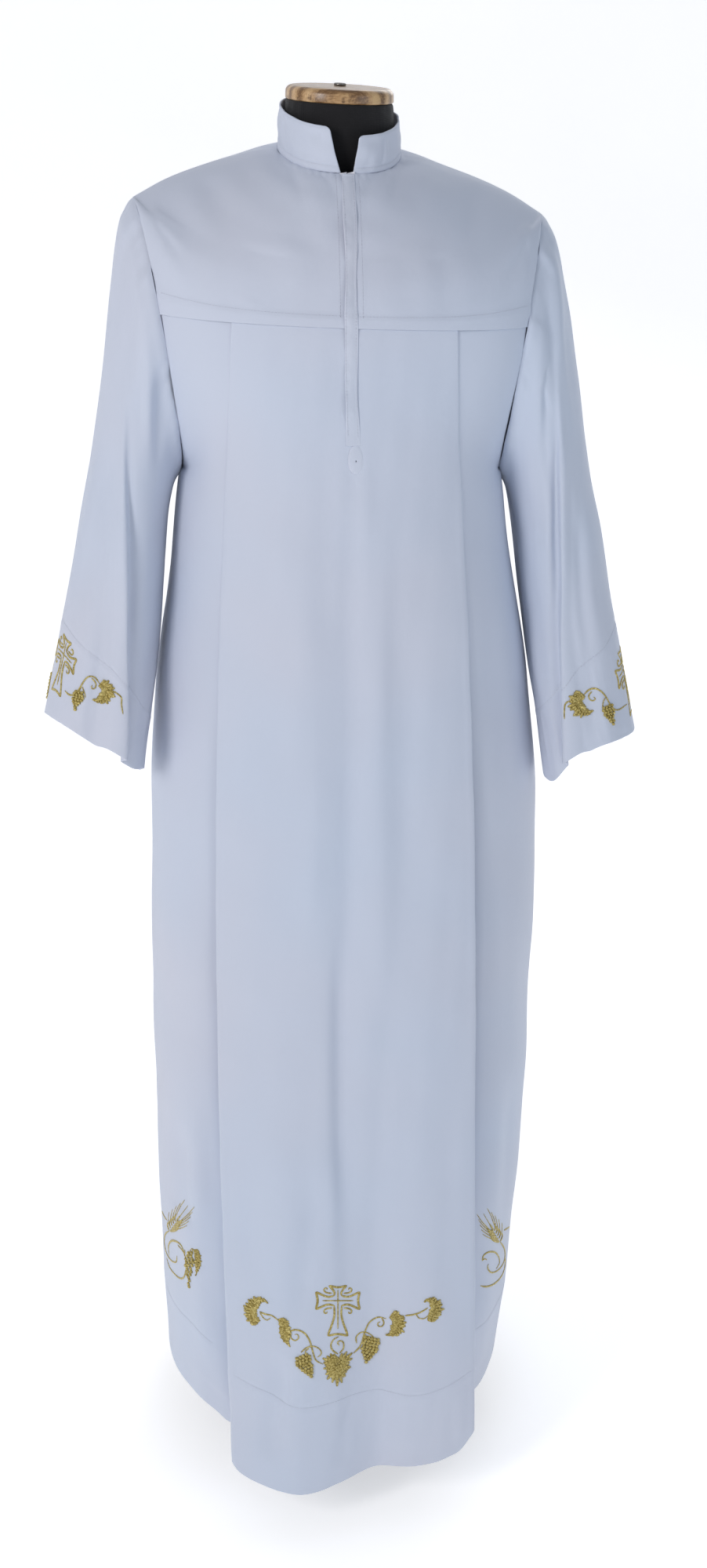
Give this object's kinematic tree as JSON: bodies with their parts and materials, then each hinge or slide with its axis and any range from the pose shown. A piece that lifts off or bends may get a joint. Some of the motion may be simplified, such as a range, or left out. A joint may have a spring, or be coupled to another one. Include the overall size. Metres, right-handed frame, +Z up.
{
  "type": "alb on dress form",
  "caption": "Long white alb with stand collar, front yoke, zip under a narrow fly, pleated front panel and wide sleeves, on a dress form with a wooden cap and round stand.",
  "frame": {"origin": "centre of the stand's round foot, on the floor under the pole", "axes": "+Z up along the pole, -Y the way the front of the garment faces, +X to the right of someone who looks at its front"},
  "size_m": [0.6709, 0.5393, 1.6319],
  "materials": {
    "alb_cloth": "smooth plain-weave polyester, soft sheen",
    "alb_thread": "white sewing thread, matt",
    "gold_thread": "gold metallic embroidery thread, satin",
    "zip_tape": "woven tape with a fine nylon coil",
    "form_jersey": "black knitted jersey, matt",
    "cap_wood": "turned wood with clear varnish",
    "stud_steel": "dull steel",
    "stand_steel": "satin steel tube",
    "stand_paint": "black powder coat"
  },
  "bodies": {
    "root": {"collar": "alb_cloth", "yoke_left": "alb_cloth", "yoke_right": "alb_cloth", "front_lower": "alb_cloth", "back": "alb_cloth", "sleeve_left": "alb_cloth", "sleeve_right": "alb_cloth", "zip": "zip_tape", "zip_fly": "alb_cloth", "form_torso": "form_jersey", "neck_cap": "cap_wood", "cap_stud": "stud_steel", "stand_pole": "stand_steel", "stand_base": "stand_paint"}
  },
  "joints": []
}
